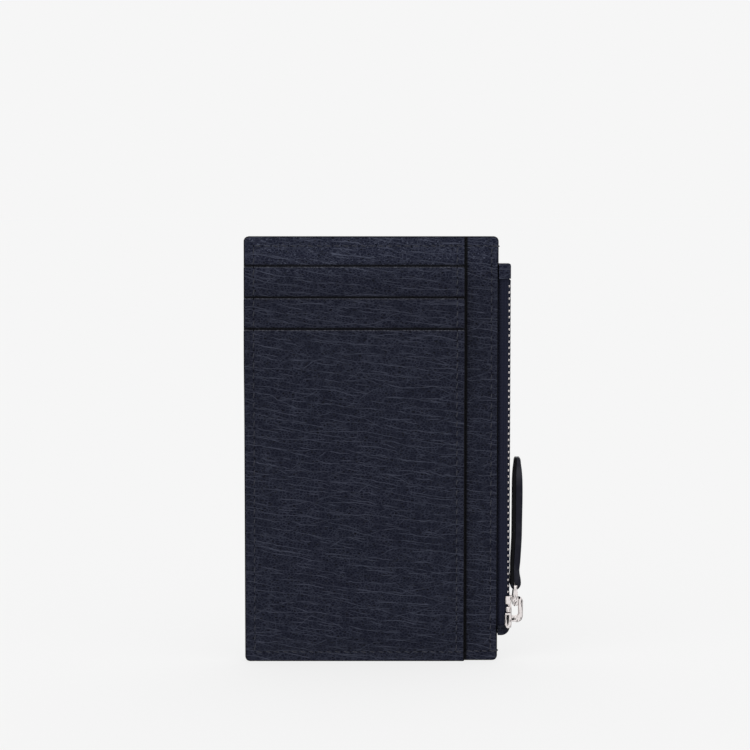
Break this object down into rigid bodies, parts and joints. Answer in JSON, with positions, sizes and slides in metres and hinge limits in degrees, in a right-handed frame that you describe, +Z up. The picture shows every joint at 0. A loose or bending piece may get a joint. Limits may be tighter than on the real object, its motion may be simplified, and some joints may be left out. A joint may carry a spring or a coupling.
{
  "type": "card holder",
  "caption": "Slim upright leather card holder with stepped card slots, a side-opening note pocket and a zipped side pocket with a leather pull.",
  "frame": {"origin": "middle of the front panel's bottom edge, which the case stands on", "axes": "+X to the zip side, +Y to the back, +Z up; the card slots face -Y and open upwards"},
  "size_m": [0.085, 0.0104, 0.1296],
  "materials": {
    "navy_grain_leather": "navy long-grain leather, satin, fine horizontal wrinkles",
    "smooth_leather": "smooth navy leather with painted edges",
    "pocket_lining": "thin matt woven lining",
    "zip_tape": "woven navy zip tape",
    "polished_metal": "polished nickel plate"
  },
  "bodies": {
    "case": {"card_backing": "navy_grain_leather", "note_pocket_lining": "pocket_lining", "pocket_panel_upper": "navy_grain_leather", "pocket_tongue_upper": "pocket_lining", "pocket_panel_middle": "navy_grain_leather", "pocket_tongue_middle": "pocket_lining", "pocket_panel_lower": "navy_grain_leather", "pocket_lining_lower": "pocket_lining", "front_panel": "navy_grain_leather", "zip_pocket_lining_front": "pocket_lining", "back_panel": "navy_grain_leather", "zip_pocket_lining_back": "pocket_lining", "zip_tape_front": "zip_tape", "zip_teeth_front": "polished_metal", "zip_stop_front": "polished_metal", "zip_tape_back": "zip_tape", "zip_teeth_back": "polished_metal", "zip_stop_back": "polished_metal", "zip_end_staple": "polished_metal", "zip_end_tab": "smooth_leather", "zip_end_fold": "smooth_leather"},
    "slider": {"slider_body": "polished_metal", "slider_bridge": "polished_metal"},
    "connector": {"pull_connector": "polished_metal"},
    "strap": {"pull_strap": "smooth_leather"}
  },
  "joints": [
    {"name": "slider_slide", "type": "slide", "parent": "case", "child": "slider", "axis": [0, 0, 1], "range_m": [0, 0.095], "deforming": ["zip_teeth_front", "zip_teeth_back"]},
    {"name": "connector_swing", "type": "hinge", "parent": "slider", "child": "connector", "pos_m": [0.04408, 0.00255, 0.01745], "axis": [0, 1, 0], "range_deg": [0, 100]},
    {"name": "strap_swing", "type": "hinge", "parent": "connector", "child": "strap", "pos_m": [0.04408, 0.00255, 0.0227], "axis": [0, 1, 0], "range_deg": [0, 80]}
  ]
}
